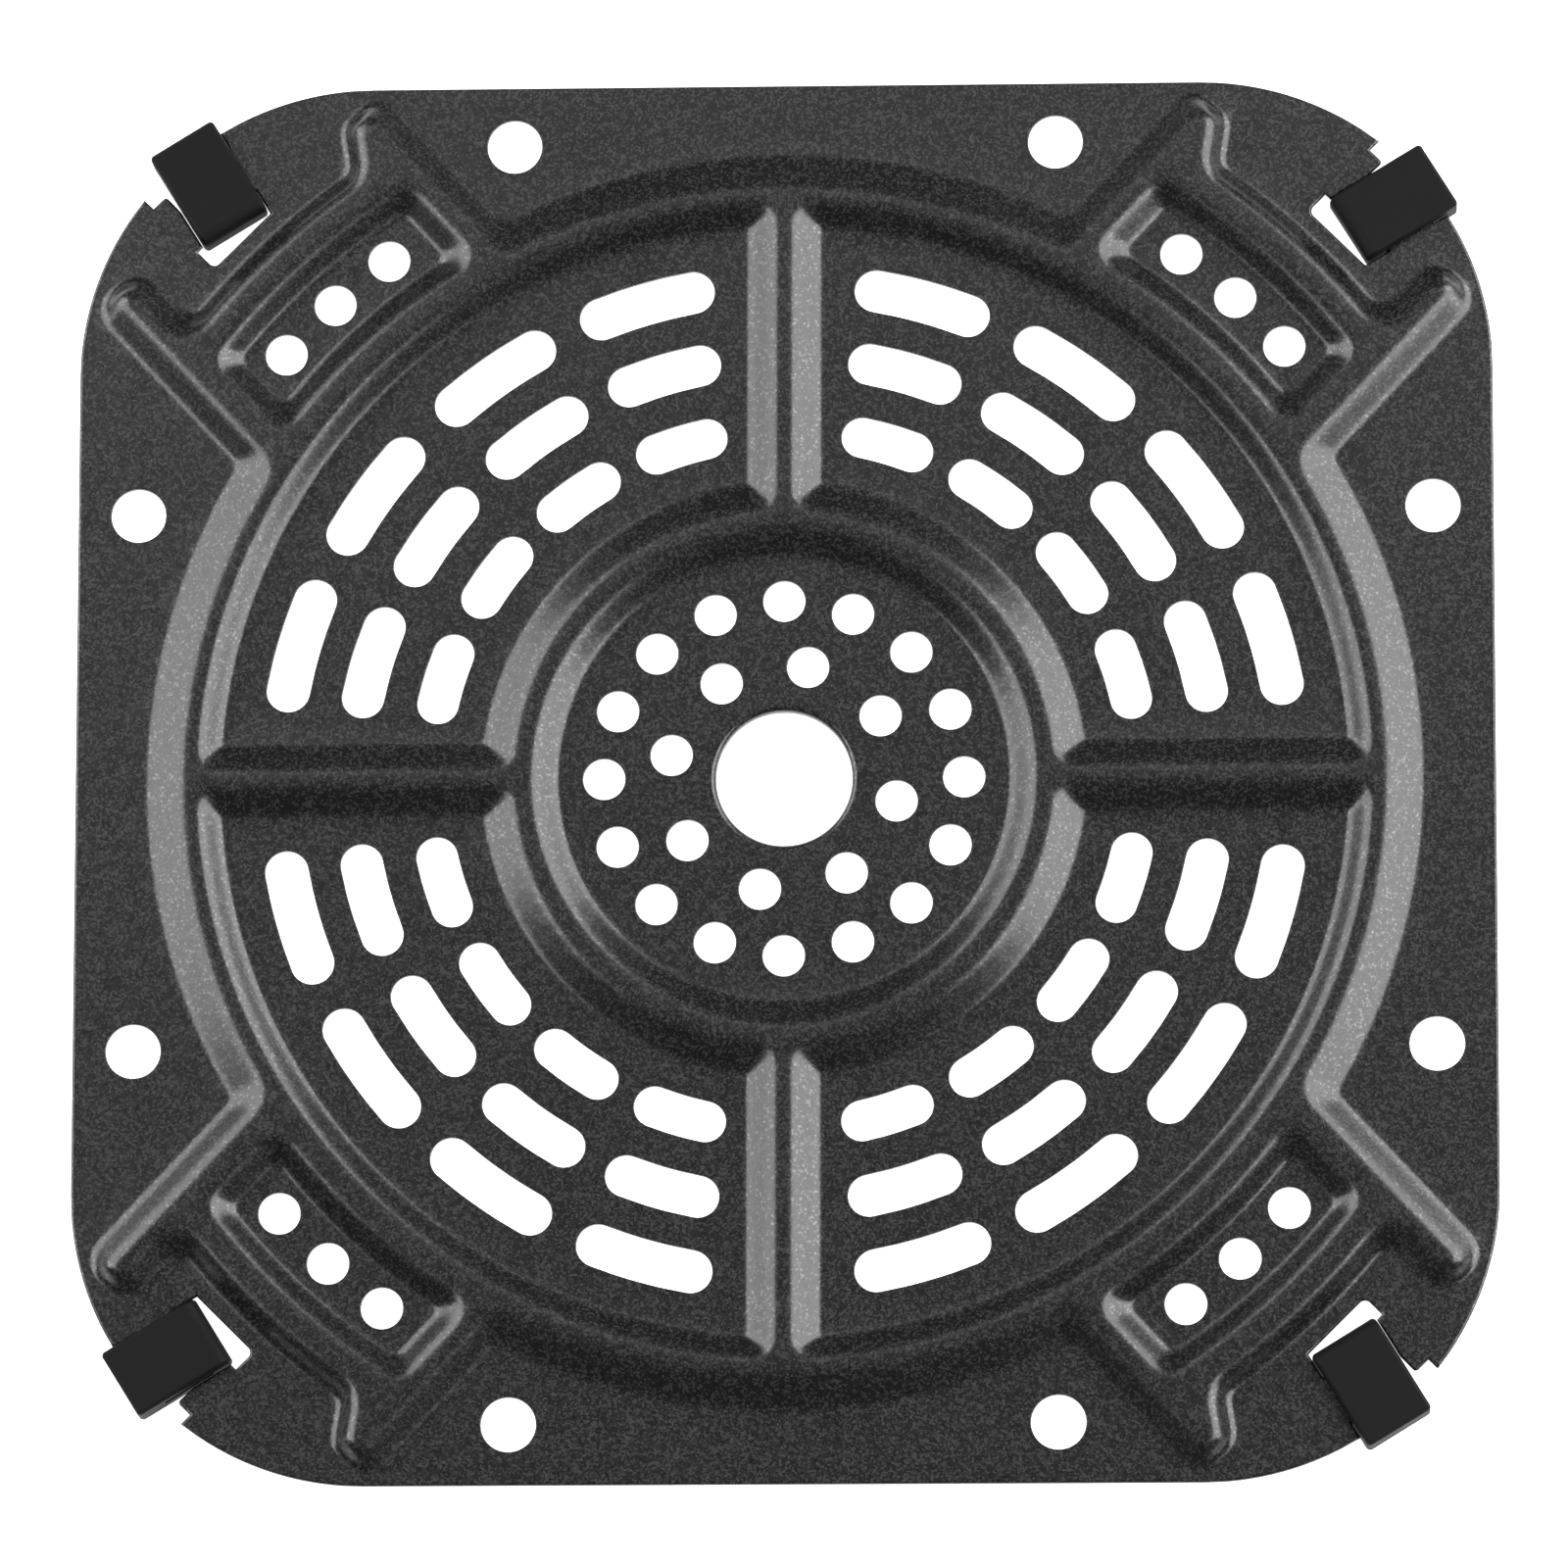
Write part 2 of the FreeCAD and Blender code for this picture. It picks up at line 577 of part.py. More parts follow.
def main():
    """Build every piece and write it to its own file."""
    os.makedirs("parts", exist_ok=True)
    pieces = {"crisper_plate": crisper_plate()}
    first = bumper()
    for quarter_turns, name in enumerate(BUMPER_NAMES):
        pieces[name] = turned(first, quarter_turns)
    for name, shape in pieces.items():
        shape.exportStep("parts/" + name + ".step")
        print(name, shape.isValid(), len(shape.Solids), len(shape.Faces), round(shape.Volume, 1))


main()
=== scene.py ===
"""Looks of an air fryer tray: a nonstick steel sheet on four silicone corner bumpers.

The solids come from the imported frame. This script dresses them, sets them on a pale floor, lights them
with two side softboxes and a dim rear card, and looks down on them at the photograph's angle. Lengths
are in metres.
"""

import logging
import math
from dataclasses import dataclass, field
from enum import Enum

import bmesh
import bpy
import numpy as np
from mathutils import Matrix, Vector
from mathutils.bvhtree import BVHTree
from mathutils.geometry import delaunay_2d_cdt

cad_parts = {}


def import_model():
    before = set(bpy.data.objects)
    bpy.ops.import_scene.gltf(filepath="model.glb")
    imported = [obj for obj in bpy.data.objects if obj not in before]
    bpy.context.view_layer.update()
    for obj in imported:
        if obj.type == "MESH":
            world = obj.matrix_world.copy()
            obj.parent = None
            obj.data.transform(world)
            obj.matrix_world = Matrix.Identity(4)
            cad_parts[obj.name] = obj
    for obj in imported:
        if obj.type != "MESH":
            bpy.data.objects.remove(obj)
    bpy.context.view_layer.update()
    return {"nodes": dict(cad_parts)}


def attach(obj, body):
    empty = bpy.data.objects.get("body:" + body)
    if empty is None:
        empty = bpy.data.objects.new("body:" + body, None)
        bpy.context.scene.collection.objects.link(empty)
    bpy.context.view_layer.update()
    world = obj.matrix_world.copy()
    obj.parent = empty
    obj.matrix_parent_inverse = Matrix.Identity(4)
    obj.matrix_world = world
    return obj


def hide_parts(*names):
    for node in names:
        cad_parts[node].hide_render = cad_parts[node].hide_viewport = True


LOG = logging.getLogger("air_fryer_tray")
MM = 0.001
PLATE = "crisper_plate"
BUMPERS = ("bumper_rear_right", "bumper_front_right", "bumper_front_left", "bumper_rear_left")

# Range that the values of a cloud noise mostly keep to.
CLOUD_SPAN = (0.3, 0.7)

# One row of a cut edge's section: distance outwards, drop below the food side, tilt in degrees.
SectionRow = tuple[float, float, float]
Faces = list[tuple[int, ...]]


class Side(Enum):
    """Side of the tray that a softbox stands on."""

    LEFT = -1
    RIGHT = 1


@dataclass(frozen=True)
class PressForm:
    """How softly the press bends the sheet, how its cut edges are rounded, and how finely it is divided."""

    grid_step: float = 0.25 * MM
    foot_blur: float = 0.42 * MM
    crest_blur: float = 0.62 * MM
    rim_round: float = 0.40 * MM
    hole_round: float = 0.14 * MM
    hub_bend: float = 0.90 * MM
    hub_lip: float = 0.20 * MM
    top_spacing: float = 0.66 * MM
    underside_spacing: float = 1.15 * MM
    flat_spacing: float = 5.0 * MM
    edge_gap: float = 0.40 * MM
    steep: float = 0.012
    rim_steps: int = 3
    hole_steps: int = 2
    hub_steps: int = 8


@dataclass
class SolidReader:
    """Reads the plate's levels, heights and cut outlines from its CAD solid."""

    node: bpy.types.Object
    flange_probe: float = 3.0 * MM
    ray_start: float = 0.1
    level_tolerance: float = 0.001 * MM
    same_place: float = 0.0001 * MM
    upright: float = 0.02
    least_points: int = 9

    def __post_init__(self) -> None:
        """Collect the solid's triangles and a tree to cast rays at."""
        mesh = self.node.data
        mesh.calc_loop_triangles()
        self.points = np.empty(len(mesh.vertices) * 3)
        mesh.vertices.foreach_get("co", self.points)
        self.points = self.points.reshape(-1, 3)
        self.triangles = np.empty(len(mesh.loop_triangles) * 3, dtype=np.int32)
        mesh.loop_triangles.foreach_get("vertices", self.triangles)
        self.triangles = self.triangles.reshape(-1, 3)
        self.tree = BVHTree.FromPolygons([Vector(p) for p in self.points], self.triangles.tolist())
        self.half = float(self.points[:, 0].max())
        flange = self.half - self.flange_probe
        self.top = self.hit(0.0, flange, 1.0)
        self.underside = self.hit(0.0, flange, -1.0)
        self.thickness = self.top - self.underside

    def hit(self, x: float, y: float, side: float) -> float | None:
        """Find the height where a vertical ray meets the solid.

        Args:
            x: Place of the ray.
            y: Place of the ray.
            side: 1 for a ray from above, -1 for one from below.

        Returns:
            The height, or None where the sheet is punched.
        """
        found = self.tree.ray_cast(Vector((x, y, side)), Vector((0.0, 0.0, -side)))[0]
        return None if found is None else found.z

    def heights(self, axis: np.ndarray) -> np.ndarray:
        """Read the food side over a square grid.

        Args:
            axis: Places of the grid's columns, and of its rows.

        Returns:
            Heights by row and column, with NaN where the sheet is punched.
        """
        down = Vector((0.0, 0.0, -1.0))
        rows = []
        for y in axis:
            hits = [self.tree.ray_cast(Vector((x, y, self.ray_start)), down)[0] for x in axis]
            rows.append([np.nan if hit is None else hit.z for hit in hits])
        return np.array(rows)

    def outlines(self) -> list[np.ndarray]:
        """Follow the lower edges of the upright cut faces.

        Returns:
            Closed outlines in plan of the rim and of every punched hole, with the material on the left.
        """
        corners = self.points[self.triangles]
        normals = np.cross(corners[:, 1] - corners[:, 0], corners[:, 2] - corners[:, 0])
        lengths = np.linalg.norm(normals, axis=1)
        upright = corners[np.abs(normals[:, 2]) <= self.upright * lengths]
        following = {}
        for triangle in upright:
            for start, end in zip(triangle, np.roll(triangle, -1, 0)):
                off_level = max(abs(start[2] - self.underside), abs(end[2] - self.underside))
                if off_level < self.level_tolerance:
                    following[self.key(start)] = (self.key(end), start[:2])
        loops = []
        while following:
            first = next(iter(following))
            loop = []
            place = first
            while place in following:
                place, point = following.pop(place)
                loop.append(point)
            if place == first and len(loop) >= self.least_points:
                loops.append(np.array(loop))
        return loops

    def key(self, point: np.ndarray) -> tuple[int, int]:
        """Name a point in plan alike for neighbouring triangles."""
        return round(point[0] / self.same_place), round(point[1] / self.same_place)


@dataclass
class SheetField:
    """Softened height of the food side, and its slope, at any place in plan."""

    axis: np.ndarray
    height: np.ndarray
    solid: np.ndarray

    def __post_init__(self) -> None:
        """Work out the slopes over the grid."""
        self.step = self.axis[1] - self.axis[0]
        self.slope_y, self.slope_x = np.gradient(self.height, self.step)

    @classmethod
    def pressed(cls, reader: SolidReader, form: PressForm) -> "SheetField":
        """Read the solid's heights and soften its bends: crests more than feet.

        Args:
            reader: Source of the heights.
            form: Softness of the bends.

        Returns:
            The field over the whole blank, with a margin round it.
        """
        margin = 2 * MM
        count = 2 * int((reader.half + margin) / form.grid_step) + 1
        axis = (np.arange(count) - count // 2) * form.grid_step
        raw = reader.heights(axis)
        solid = ~np.isnan(raw)
        level = np.where(solid, np.maximum(raw, reader.top), 0.0)
        foot = cls.blurred(level, solid, form.foot_blur / form.grid_step, reader.top)
        crest = cls.blurred(level, solid, form.crest_blur / form.grid_step, reader.top)
        rise = np.clip((foot - reader.top) / (np.nanmax(raw) - reader.top), 0.0, 1.0)
        share = rise * rise * (3.0 - 2.0 * rise)
        return cls(axis, foot + (crest - foot) * share, solid)

    @staticmethod
    def blurred(level: np.ndarray, solid: np.ndarray, sigma: float, fallback: float) -> np.ndarray:
        """Take a Gaussian mean of the heights, over solid places only.

        Args:
            level: Heights, 0 where the sheet is punched.
            solid: Where the sheet is solid.
            sigma: Width of the mean in grid steps.
            fallback: Height far from any solid place.

        Returns:
            The softened heights.
        """
        least = 1e-3
        reach = int(3 * sigma) + 1
        weights = np.exp(-0.5 * (np.arange(-reach, reach + 1) / sigma) ** 2)
        weights /= weights.sum()
        total, share = level, solid.astype(float)
        for direction in (0, 1):
            total = sum(w * np.roll(total, i - reach, direction) for i, w in enumerate(weights))
            share = sum(w * np.roll(share, i - reach, direction) for i, w in enumerate(weights))
        return np.where(share > least, total / np.maximum(share, least), fallback)

    def sample(self, grid: np.ndarray, places: np.ndarray) -> np.ndarray:
        """Read a grid between its nodes.

        Args:
            grid: Values by row and column.
            places: Places in plan.

        Returns:
            One value for each place.
        """
        across = np.clip((places - self.axis[0]) / self.step, 0, len(self.axis) - 1.001)
        low = across.astype(int)
        x, y = low[:, 0], low[:, 1]
        u, v = (across - low).T
        near = grid[y, x] * (1 - u) + grid[y, x + 1] * u
        far = grid[y + 1, x] * (1 - u) + grid[y + 1, x + 1] * u
        return near * (1 - v) + far * v

    def surface(self, places: np.ndarray) -> tuple[np.ndarray, np.ndarray]:
        """Lift places in plan onto the food side.

        Args:
            places: Places in plan.

        Returns:
            Points of the food side and their unit normals.
        """
        slopes = np.stack([self.sample(self.slope_x, places), self.sample(self.slope_y, places)], axis=1)
        normals = np.column_stack([-slopes, np.ones(len(places))])
        normals /= np.linalg.norm(normals, axis=1)[:, None]
        return np.column_stack([places, self.sample(self.height, places)]), normals

    def filling(self, form: PressForm, spacing: float) -> np.ndarray:
        """Choose places to carry the surface: close on bends and walls, wide apart on the flats.

        Args:
            form: Widths of the gap to cut edges and between places on the flats.
            spacing: Distance between places on bends and walls.

        Returns:
            The places in plan.
        """
        wholly, mostly = 0.99, 0.5
        bent = (np.hypot(self.slope_x, self.slope_y) > form.steep).astype(float)
        gap = int(form.edge_gap / self.step) + 1
        inside = self.solid.copy()
        for down in (-gap, 0, gap):
            for across in (-gap, 0, gap):
                inside &= np.roll(self.solid, (down, across), (0, 1))
        kept = []
        for pitch, on_bends in ((spacing, True), (form.flat_spacing, False)):
            places = self.honeycomb(pitch)
            on_sheet = self.sample(inside.astype(float), places) > wholly
            on_bend = self.sample(bent, places) > mostly
            kept.append(places[on_sheet & (on_bend == on_bends)])
        return np.concatenate(kept)

    def honeycomb(self, pitch: float) -> np.ndarray:
        """Spread places evenly over the blank.

        Args:
            pitch: Distance from a place to its six neighbours.

        Returns:
            The places in plan.
        """
        half = float(self.axis[-1])
        rows = np.arange(-half, half, pitch * math.sqrt(0.75))
        columns = np.arange(-half, half, pitch)
        x = columns[None, :] + (np.arange(len(rows)) % 2)[:, None] * pitch / 2
        y = np.broadcast_to(rows[:, None], x.shape)
        return np.column_stack([x.ravel(), y.ravel()])


@dataclass
class CutEdge:
    """Closed outline in plan where the sheet was cut, with a rounded section."""

    loop: np.ndarray
    section: list[SectionRow]
    sharpest: float = 0.6

    def __post_init__(self) -> None:
        """Work out the direction away from the material at each point."""
        after = np.roll(self.loop, -1, 0) - self.loop
        before = self.loop - np.roll(self.loop, 1, 0)
        units = [run / np.linalg.norm(run, axis=1)[:, None] for run in (before, after)]
        outwards = [np.column_stack([unit[:, 1], -unit[:, 0]]) for unit in units]
        middle = outwards[0] + outwards[1]
        middle /= np.linalg.norm(middle, axis=1)[:, None]
        stretch = np.maximum((middle * outwards[0]).sum(1), self.sharpest)
        self.outward = middle
        self.reach = middle / stretch[:, None]

    def shifted(self, distance: float) -> np.ndarray:
        """Move the outline away from the material by a distance."""
        return self.loop + self.reach * distance

    @property
    def inset(self) -> np.ndarray:
        """Outline where the flat food side ends and the rounding starts."""
        return self.shifted(self.section[0][0])

    def rows(self, top: np.ndarray, facing: np.ndarray) -> list[tuple[np.ndarray, np.ndarray]]:
        """Place the section's inner rows, from the food side down to the underside.

        Args:
            top: Points on the food side over the inset outline.
            facing: Normals of the food side there.

        Returns:
            Points and normals of each row between the two faces of the sheet.
        """
        made = []
        for distance, drop, tilt_deg in self.section[1:-1]:
            tilt = math.radians(tilt_deg)
            points = np.column_stack([self.shifted(distance), top[:, 2] - drop])
            level = np.column_stack([self.outward, np.zeros(len(top))])
            normals = facing * math.cos(tilt) + level * math.sin(tilt)
            made.append((points, normals / np.linalg.norm(normals, axis=1)[:, None]))
        return made


@dataclass
class Shell:
    """Points, normals and faces of a piece while it is put together."""

    points: list[np.ndarray] = field(default_factory=list)
    normals: list[np.ndarray] = field(default_factory=list)
    faces: Faces = field(default_factory=list)
    count: int = 0

    def add(self, points: np.ndarray, normals: np.ndarray) -> np.ndarray:
        """Add points.

        Args:
            points: The points.
            normals: Their normals.

        Returns:
            The points' numbers in the shell.
        """
        numbers = np.arange(self.count, self.count + len(points))
        self.points.append(points)
        self.normals.append(normals)
        self.count += len(points)
        return numbers

    def cover(self, numbers: np.ndarray, places: np.ndarray, faces: Faces, side: float) -> None:
        """Add one face of the sheet.

        Args:
            numbers: Numbers of its points in the shell.
            places: The same points in plan.
            faces: Triangles between the places.
            side: 1 where they look up, -1 where they look down.
        """
        for face in faces:
            a, b, c = (places[corner] for corner in face)
            turn = (b[0] - a[0]) * (c[1] - a[1]) - (b[1] - a[1]) * (c[0] - a[0])
            ordered = face if turn * side > 0 else reversed(face)
            self.faces.append(tuple(int(numbers[corner]) for corner in ordered))

    def strip(self, upper: np.ndarray, lower: np.ndarray) -> None:
        """Join two closed rows of points.

        Args:
            upper: Numbers of the row nearer to the food side.
            lower: Numbers of the next row.
        """
        quads = zip(upper, lower, np.roll(lower, -1), np.roll(upper, -1))
        self.faces += [tuple(int(corner) for corner in quad) for quad in quads]

    def finished(self, name: str) -> bpy.types.Object:
        """Turn the shell into an object with its own normals.

        Args:
            name: The object's name.

        Returns:
            The object, in the scene.
        """
        mesh = bpy.data.meshes.new(name)
        mesh.from_pydata(np.concatenate(self.points).tolist(), [], self.faces)
        mesh.polygons.foreach_set("use_smooth", [True] * len(mesh.polygons))
        mesh.normals_split_custom_set_from_vertices(np.concatenate(self.normals).tolist())
        mesh.update()
        piece = bpy.data.objects.new(name, mesh)
        bpy.context.scene.collection.objects.link(piece)
        return piece


@dataclass
class PressedPlate:
    """The plate as a finely divided skin: food side, underside and rounded cut edges."""

    reader: SolidReader
    form: PressForm = field(default_factory=PressForm)
    longest_bent_run: float = 12.0 * MM
    longest_plain_run: float = 1.0 * MM
    smooth_turn_deg: float = 12.0
    rim_tolerance: float = 0.01 * MM
    round_tolerance: float = 0.2 * MM

    def round_section(self, radius: float, steps: int) -> list[SectionRow]:
        """Make the section of a plain cut edge.

        Args:
            radius: Rounding at both faces of the sheet.
            steps: Steps in each rounding.

        Returns:
            The section's rows.
        """
        thickness = self.reader.thickness
        upper = []
        for index in range(steps + 1):
            angle = math.pi / 2 * index / steps
            out, drop = radius * (math.sin(angle) - 1), radius * (1 - math.cos(angle))
            upper.append((out, drop, math.degrees(angle)))
        lower = [(out, thickness - drop, 180 - tilt) for out, drop, tilt in reversed(upper)]
        return upper + lower

    def collar_section(self, loop: np.ndarray) -> list[SectionRow]:
        """Make the hub hole's section: a bend down into the collar, its lip, and its outside back up.

        Args:
            loop: The hole's outline, round the collar's outside.

        Returns:
            The section's rows.
        """
        solid = self.reader
        outside = float(np.linalg.norm(loop, axis=1).mean())
        inside = min(float(np.linalg.norm(point[:2])) for point in solid.points)
        foot = solid.top - float(solid.points[:, 2].min())
        wall = outside - inside
        bend = self.form.hub_bend
        made = []
        for index in range(self.form.hub_steps + 1):
            angle = math.pi / 2 * index / self.form.hub_steps
            out = wall - bend * (1 - math.sin(angle))
            made.append((out, bend * (1 - math.cos(angle)), math.degrees(angle)))
        lip = self.form.hub_lip
        nearer = 0.3 * lip
        made += [(wall, foot - lip, 90.0), (wall - nearer, foot - nearer, 135.0), (wall - lip, foot, 180.0)]
        made += [(lip, foot, 180.0), (nearer, foot - nearer, 225.0), (0.0, foot - lip, 270.0)]
        made += [(0.0, solid.thickness, 270.0), (wall - bend, solid.thickness, 180.0)]
        return made

    def cut_edges(self) -> list[CutEdge]:
        """Give every outline of the sheet its section.

        Returns:
            Edges of the rim, the punched holes and the hub hole.
        """
        form = self.form
        edges = []
        for loop in self.reader.outlines():
            radii = np.linalg.norm(loop, axis=1)
            if np.abs(loop).max() > self.reader.half - self.rim_tolerance:
                section = self.round_section(form.rim_round, form.rim_steps)
            elif radii.max() - radii.min() < self.round_tolerance:
                section = self.collar_section(loop)
            else:
                section = self.round_section(form.hole_round, form.hole_steps)
            edges.append(CutEdge(self.refined(loop), section))
        return edges

    def refined(self, loop: np.ndarray) -> np.ndarray:
        """Divide an outline's long runs, along its own curve where it is smooth.

        Args:
            loop: The outline.

        Returns:
            The outline with points added.
        """
        for _ in range(2):
            before, after = np.roll(loop, 1, 0), np.roll(loop, -1, 0)
            beyond = np.roll(loop, -2, 0)
            runs = [end - start for start, end in ((before, loop), (loop, after), (after, beyond))]
            lengths = [np.linalg.norm(run, axis=1) for run in runs]
            turns = []
            for first, second in ((0, 1), (1, 2)):
                cosine = (runs[first] * runs[second]).sum(1) / (lengths[first] * lengths[second])
                turns.append(np.degrees(np.arccos(np.clip(cosine, -1, 1))))
            even = np.minimum(lengths[0], lengths[2]) > 0.5 * lengths[1]
            even &= np.maximum(lengths[0], lengths[2]) < 2.0 * lengths[1]
            smooth = (np.maximum(*turns) < self.smooth_turn_deg) & even & (lengths[1] < self.longest_bent_run)
            curved = (9 * (loop + after) - before - beyond) / 16
            middle = np.where(smooth[:, None], curved, (loop + after) / 2)
            made = []
            for point, between, length in zip(loop, middle, lengths[1]):
                made.append(point)
                if length > self.longest_plain_run:
                    made.append(between)
            loop = np.array(made)
        return loop

    def skin(
        self, spacing: float, edges: list[CutEdge], sheet: SheetField
    ) -> tuple[np.ndarray, Faces, list[np.ndarray]]:
        """Triangulate one face of the sheet in plan, with its holes left open.

        Args:
            spacing: Distance between points on bends.
            edges: Cut edges that bound the face.
            sheet: The softened heights.

        Returns:
            Places in plan, triangles, and the place numbers along each cut edge.
        """
        leave_holes_out, same_place = 2, 1e-5
        loops = [edge.inset for edge in edges]
        places = np.concatenate([*loops, sheet.filling(self.form, spacing)])
        numbers, start = [], 0
        for loop in loops:
            numbers.append(range(start, start + len(loop)))
            start += len(loop)
        vectors = [Vector(place) for place in places / MM]
        found = delaunay_2d_cdt(vectors, [], numbers, leave_holes_out, same_place)
        merged = {source: index for index, sources in enumerate(found[3]) for source in sources}
        used = np.unique(np.array(found[2]))
        number_of = np.full(len(found[0]), -1)
        number_of[used] = np.arange(len(used))
        kept = np.array([tuple(point) for point in found[0]])[used] * MM
        faces = [tuple(int(number_of[corner]) for corner in face) for face in found[2]]
        along = [number_of[[merged[number] for number in loop]] for loop in numbers]
        return kept, faces, along

    def build(self) -> bpy.types.Object:
        """Build the piece.

        Returns:
            The plate's object, with its own normals.
        """
        sheet = SheetField.pressed(self.reader, self.form)
        edges = self.cut_edges()
        top_places, top_faces, top_rims = self.skin(self.form.top_spacing, edges, sheet)
        low_places, low_faces, low_rims = self.skin(self.form.underside_spacing, edges, sheet)
        top, top_normals = sheet.surface(top_places)
        low, low_normals = sheet.surface(low_places)
        shell = Shell()
        upper = shell.add(top, top_normals)
        under = shell.add(low - low_normals * self.reader.thickness, -low_normals)
        shell.cover(upper, top_places, top_faces, 1.0)
        shell.cover(under, low_places, low_faces, -1.0)
        for edge, top_rim, low_rim in zip(edges, top_rims, low_rims):
            inner = edge.rows(top[top_rim], top_normals[top_rim])
            rows = [upper[top_rim], *(shell.add(*row) for row in inner), under[low_rim]]
            for higher, lower in zip(rows, rows[1:]):
                shell.strip(higher, lower)
        return shell.finished("pressed_plate")


@dataclass
class SoftBumper:
    """A silicone bumper with the softly rounded edges of a moulding."""

    node: bpy.types.Object
    edge_round: float = 0.16 * MM
    edge_segments: int = 3
    merge_gap: float = 0.001 * MM
    flat_deg: float = 1.0
    sharp_deg: float = 25.0

    def build(self) -> bpy.types.Object:
        """Build the piece from its CAD solid.

        Returns:
            The bumper's object.
        """
        shape = bmesh.new()
        shape.from_mesh(self.node.data)
        bmesh.ops.remove_doubles(shape, verts=shape.verts, dist=self.merge_gap)
        flat = math.radians(self.flat_deg)
        bmesh.ops.dissolve_limit(shape, angle_limit=flat, verts=shape.verts, edges=shape.edges)
        limit = math.radians(self.sharp_deg)
        sharp = [edge for edge in shape.edges if edge.is_manifold and edge.calc_face_angle() > limit]
        bmesh.ops.bevel(
            shape,
            geom=sharp,
            offset=self.edge_round,
            offset_type="OFFSET",
            affect="EDGES",
            segments=self.edge_segments,
            profile=0.5,
            material=-1,
            clamp_overlap=True,
        )
        for face in shape.faces:
            face.smooth = True
        mesh = bpy.data.meshes.new(self.node.name.replace("bumper", "silicone"))
        shape.to_mesh(mesh)
        shape.free()
        piece = bpy.data.objects.new(mesh.name, mesh)
        bpy.context.scene.collection.objects.link(piece)
        piece.modifiers.new("even_shading", "WEIGHTED_NORMAL").keep_sharp = True
        return piece


@dataclass
class Wiring:
    """Short way to add and join nodes in one tree."""

    tree: bpy.types.NodeTree

    def add(self, kind: str, values: dict[str, object] | None = None, **settings: object) -> bpy.types.Node:
        """Add a node.

        Args:
            kind: Blender's type name of the node.
            values: Input values or source sockets by input name.
            settings: Properties of the node.

        Returns:
            The new node.
        """
        node = self.tree.nodes.new(kind)
        for name, value in settings.items():
            setattr(node, name, value)
        for name, value in (values or {}).items():
            self.feed(value, self.find(node, name))
        return node

    def feed(self, value: object, socket: bpy.types.NodeSocket) -> None:
        """Link a source to a socket, or set the socket's own value.

        Args:
            value: Source socket or plain value.
            socket: The socket that takes it.
        """
        if isinstance(value, bpy.types.NodeSocket):
            self.tree.links.new(value, socket)
        else:
            socket.default_value = value

    @staticmethod
    def find(node: bpy.types.Node, name: str) -> bpy.types.NodeSocket:
        """Find an enabled input.

        Args:
            node: The node.
            name: The input's name, or its number where names repeat.

        Returns:
            The input's socket.
        """
        if name.isdigit():
            return node.inputs[int(name)]
        return next(socket for socket in node.inputs if socket.name == name and socket.enabled)

    def math(self, operation: str, *terms: object, clamp: bool = False) -> bpy.types.NodeSocket:
        """Add a math node.

        Args:
            operation: What it does.
            terms: Its inputs in order.
            clamp: Whether the result is kept between 0 and 1.

        Returns:
            The result's socket.
        """
        values = {str(index): term for index, term in enumerate(terms)}
        return self.add("ShaderNodeMath", values, operation=operation, use_clamp=clamp).outputs[0]

    def noise(self, place: bpy.types.NodeSocket, size: float, detail: float) -> bpy.types.NodeSocket:
        """Add a noise texture.

        Args:
            place: Coordinates to read it at.
            size: Size of its lumps.
            detail: Number of finer layers.

        Returns:
            The noise's socket.
        """
        values = {"Vector": place, "Scale": 1.0 / size, "Detail": detail}
        return self.add("ShaderNodeTexNoise", values).outputs["Fac"]

    def ramp(
        self, value: bpy.types.NodeSocket, span: tuple[float, float], result: tuple[float, float]
    ) -> bpy.types.NodeSocket:
        """Add a smooth map range node.

        Args:
            value: The value that varies.
            span: Its lowest and highest value.
            result: What they become.

        Returns:
            The result's socket.
        """
        values = {"Value": value, "From Min": span[0], "From Max": span[1]}
        values |= {"To Min": result[0], "To Max": result[1]}
        return self.add("ShaderNodeMapRange", values, interpolation_type="SMOOTHSTEP").outputs["Result"]

    def mix(self, share: object, first: object, second: object, blend: str = "MIX") -> bpy.types.NodeSocket:
        """Mix two colours.

        Args:
            share: How much of the second colour is taken.
            first: Colour or source socket.
            second: Colour or source socket.
            blend: How the colours are mixed.

        Returns:
            The mixed colour's socket.
        """
        values = {"0": share, "6": first, "7": second}
        return self.add("ShaderNodeMix", values, data_type="RGBA", blend_type=blend).outputs[2]


def new_material(name: str) -> tuple[bpy.types.Material, Wiring, bpy.types.Node]:
    """Make a material with a Principled shader.

    Args:
        name: Name of the material.

    Returns:
        The material, the wiring of its tree, and its shader node.
    """
    material = bpy.data.materials.new(name)
    material.use_nodes = True
    return material, Wiring(material.node_tree), material.node_tree.nodes["Principled BSDF"]


